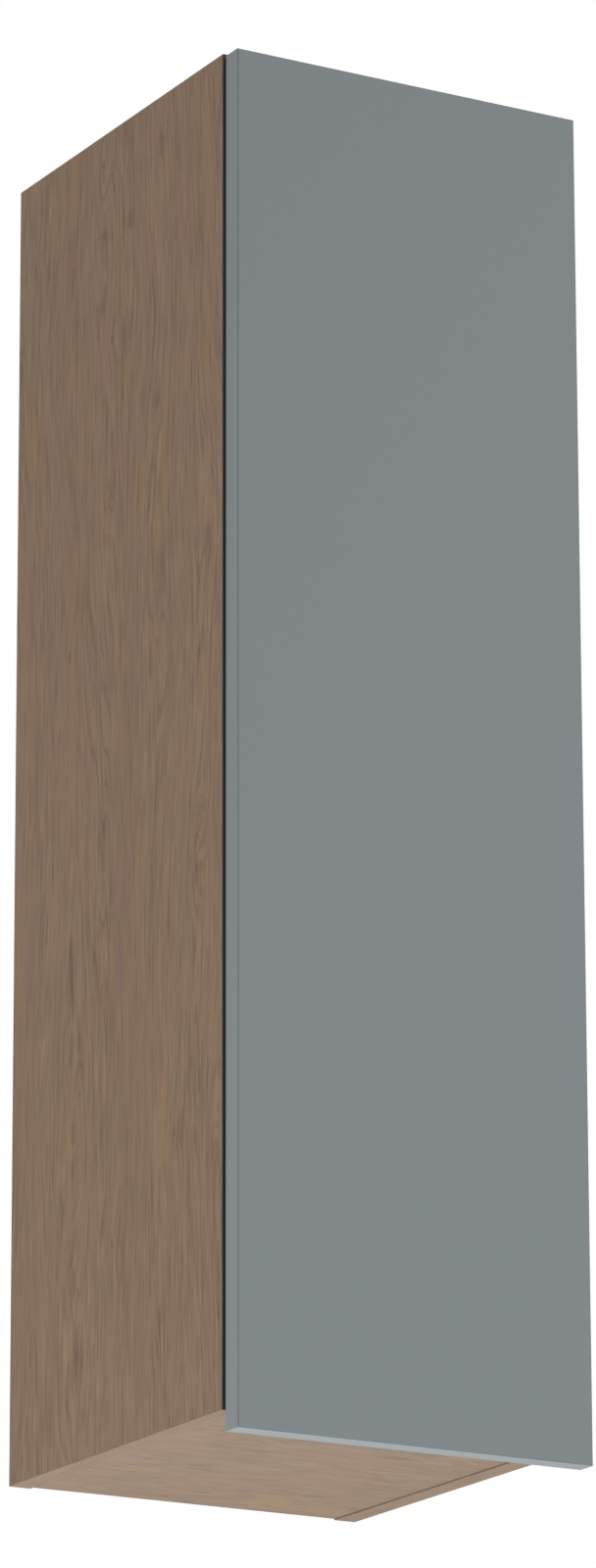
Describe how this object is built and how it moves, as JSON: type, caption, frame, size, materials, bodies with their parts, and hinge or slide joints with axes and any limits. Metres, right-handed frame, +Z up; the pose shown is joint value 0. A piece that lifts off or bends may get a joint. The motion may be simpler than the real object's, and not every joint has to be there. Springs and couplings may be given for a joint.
{
  "type": "wall cabinet",
  "caption": "Tall narrow kitchen wall cabinet: wood-look carcass, adjustable shelves, hidden wall hangers and a plain handleless door on concealed hinges.",
  "frame": {"origin": "in the wall plane, midway between the two hanging hooks, at the height where the hooks bear on the wall fitting", "axes": "+X to the viewer's right, +Y into the wall, +Z up; the door's front faces -Y"},
  "size_m": [0.3, 0.35, 1.056],
  "materials": {
    "carcass_board": "oak-look laminate, fine vertical grain",
    "edge_band": "oak-look edge band",
    "front_band": "dark brown edge band",
    "beech": "raw wood",
    "door_lacquer": "matt grey-blue foil over board",
    "clear_bumper": "soft clear",
    "steel": "plated",
    "nickel": "nickel plated",
    "zinc": "zinc plated",
    "cover_plastic": "satin grey"
  },
  "bodies": {
    "cabinet": {"side_panel_left": "carcass_board", "side_panel_right": "carcass_board", "top_panel": "carcass_board", "bottom_panel": "carcass_board", "shelf_lower": "carcass_board", "shelf_upper": "carcass_board", "back_panel": "carcass_board", "edge_band_shelf_lower": "edge_band", "edge_band_shelf_upper": "edge_band", "end_band_left": "edge_band", "end_band_right": "edge_band", "edge_band_side_left": "front_band", "edge_band_side_right": "front_band", "edge_band_top_panel": "front_band", "edge_band_bottom_panel": "front_band", "joint_tongues": "beech", "shelf_pins": "steel", "hinge_arm_bottom": "nickel", "hinge_plate_bottom": "nickel", "hinge_cover_bottom": "nickel", "hinge_arm_middle": "nickel", "hinge_plate_middle": "nickel", "hinge_cover_middle": "nickel", "hinge_arm_top": "nickel", "hinge_plate_top": "nickel", "hinge_cover_top": "nickel", "hanger_housing_left": "zinc", "hanger_cover_left": "cover_plastic", "hanger_housing_right": "zinc", "hanger_cover_right": "cover_plastic"},
    "inner_links": {"inner_link_bottom": "nickel", "inner_link_middle": "nickel", "inner_link_top": "nickel"},
    "outer_links": {"outer_link_bottom": "nickel", "outer_link_middle": "nickel", "outer_link_top": "nickel"},
    "door": {"door": "door_lacquer", "door_bumpers": "clear_bumper", "hinge_cup_bottom": "nickel", "hinge_cup_middle": "nickel", "hinge_cup_top": "nickel"},
    "hanger_carriage_left": {"hanger_carriage_left": "zinc"},
    "hanger_hook_left": {"hanger_hook_left": "zinc"},
    "depth_screw_left": {"depth_screw_left": "zinc"},
    "height_screw_left": {"height_screw_left": "zinc"},
    "hanger_carriage_right": {"hanger_carriage_right": "zinc"},
    "hanger_hook_right": {"hanger_hook_right": "zinc"},
    "depth_screw_right": {"depth_screw_right": "zinc"},
    "height_screw_right": {"height_screw_right": "zinc"}
  },
  "joints": [
    {"name": "inner_links_swing", "type": "hinge", "parent": "cabinet", "child": "inner_links", "pos_m": [0.11255, -0.32446, -0.477], "axis": [0, 0, 1], "range_deg": [-35.14, 0.2]},
    {"name": "door_swing", "type": "hinge", "parent": "inner_links", "child": "door", "pos_m": [0.1364, -0.33421, -0.477], "axis": [0, 0, 1], "range_deg": [0, 134.94]},
    {"name": "outer_links_swing", "type": "hinge", "parent": "cabinet", "child": "outer_links", "pos_m": [0.1135, -0.33, -0.477], "axis": [0, 0, 1], "range_deg": [-39.08, 0.2]},
    {"name": "carriage_slide_left", "type": "slide", "parent": "cabinet", "child": "hanger_carriage_left", "axis": [0, 1, 0], "range_m": [-0.006, 0.006]},
    {"name": "hook_slide_left", "type": "slide", "parent": "hanger_carriage_left", "child": "hanger_hook_left", "axis": [0, 0, 1], "range_m": [-0.008, 0.008]},
    {"name": "depth_screw_turn_left", "type": "hinge", "parent": "cabinet", "child": "depth_screw_left", "pos_m": [-0.122, -0.06, 0.016], "axis": [0, 1, 0], "range_deg": [-2165, 2165]},
    {"name": "height_screw_turn_left", "type": "hinge", "parent": "hanger_carriage_left", "child": "height_screw_left", "pos_m": [-0.1215, -0.044, -0.015], "axis": [0, 0, 1], "range_deg": [-2885, 2885]},
    {"name": "carriage_slide_right", "type": "slide", "parent": "cabinet", "child": "hanger_carriage_right", "axis": [0, 1, 0], "range_m": [-0.006, 0.006]},
    {"name": "hook_slide_right", "type": "slide", "parent": "hanger_carriage_right", "child": "hanger_hook_right", "axis": [0, 0, 1], "range_m": [-0.008, 0.008]},
    {"name": "depth_screw_turn_right", "type": "hinge", "parent": "cabinet", "child": "depth_screw_right", "pos_m": [0.122, -0.06, 0.016], "axis": [0, 1, 0], "range_deg": [-2165, 2165]},
    {"name": "height_screw_turn_right", "type": "hinge", "parent": "hanger_carriage_right", "child": "height_screw_right", "pos_m": [0.1215, -0.044, -0.015], "axis": [0, 0, 1], "range_deg": [-2885, 2885]}
  ],
  "couplings": [
    {"joint": "inner_links_swing", "follows": "door_swing", "ratio": -0.25893},
    {"joint": "outer_links_swing", "follows": "door_swing", "ratio": -0.28813},
    {"joint": "depth_screw_turn_left", "follows": "carriage_slide_left", "rad_per_m": 6283.2},
    {"joint": "height_screw_turn_left", "follows": "hook_slide_left", "rad_per_m": 6283.2},
    {"joint": "depth_screw_turn_right", "follows": "carriage_slide_right", "rad_per_m": 6283.2},
    {"joint": "height_screw_turn_right", "follows": "hook_slide_right", "rad_per_m": 6283.2}
  ]
}
